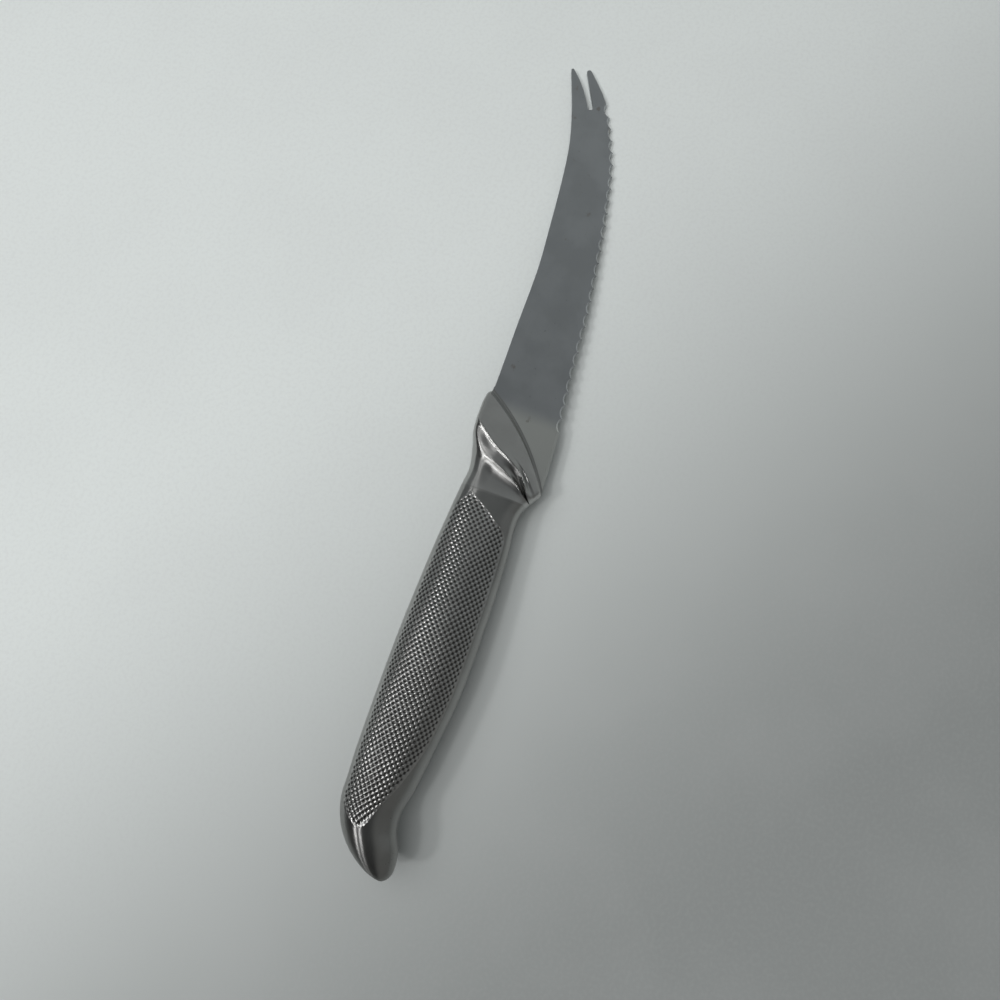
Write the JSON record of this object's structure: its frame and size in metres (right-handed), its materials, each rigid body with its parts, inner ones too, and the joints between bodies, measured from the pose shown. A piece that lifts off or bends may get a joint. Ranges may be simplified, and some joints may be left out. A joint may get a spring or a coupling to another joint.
{
  "type": "tomato knife",
  "caption": "Tomato knife with an upswept, forked and scalloped blade, a folded bolster and a hollow steel grip with dimpled panels.",
  "frame": {"origin": "under the middle of the knife's bounding box, on the surface that the handle's left face lies on", "axes": "+X runs along the grip towards the blade's tips, +Y points from the cutting edge to the spine, +Z points out of the right-hand face, square to the blade"},
  "size_m": [0.2496, 0.0384, 0.0176],
  "materials": {
    "blade_steel": "fine satin, bare of any marking, with faint water spots",
    "bolster_steel": "smooth satin polish",
    "grip_steel": "smooth satin with a dimpled, raised-diamond grip panel",
    "weld_steel": "ground and polished flush"
  },
  "bodies": {
    "root": {"blade": "blade_steel", "blade_braze": "weld_steel", "bolster": "bolster_steel", "neck_weld": "weld_steel", "right_shell": "grip_steel", "left_shell": "grip_steel", "seam_weld": "weld_steel"}
  },
  "joints": []
}
